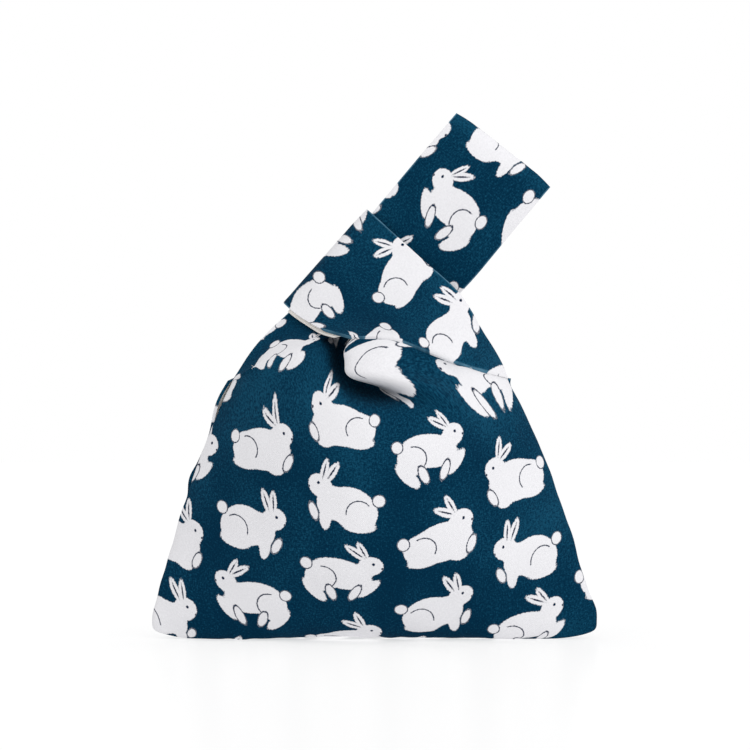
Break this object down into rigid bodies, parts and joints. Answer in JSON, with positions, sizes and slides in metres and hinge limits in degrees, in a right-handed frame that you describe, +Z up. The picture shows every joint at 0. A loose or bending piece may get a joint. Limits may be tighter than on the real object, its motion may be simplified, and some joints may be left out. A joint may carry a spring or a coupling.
{
  "type": "knotted wrist bag",
  "caption": "Sewn cotton knot bag standing filled, its long handle passed through the short one, with a deep pleat below the closed mouth.",
  "frame": {"origin": "middle of the standing bag's footprint, on the surface it stands on", "axes": "+Z up, +X to the viewer's right along the bottom seam, +Y away from the viewer through the bag's thickness"},
  "size_m": [0.223, 0.1076, 0.2637],
  "materials": {
    "printed_cotton": "matte navy cotton with an off-white print",
    "lining_cotton": "matte cream cotton"
  },
  "bodies": {
    "root": {"front_panel": "printed_cotton", "back_panel": "printed_cotton", "lining_edge": "lining_cotton"}
  },
  "joints": []
}
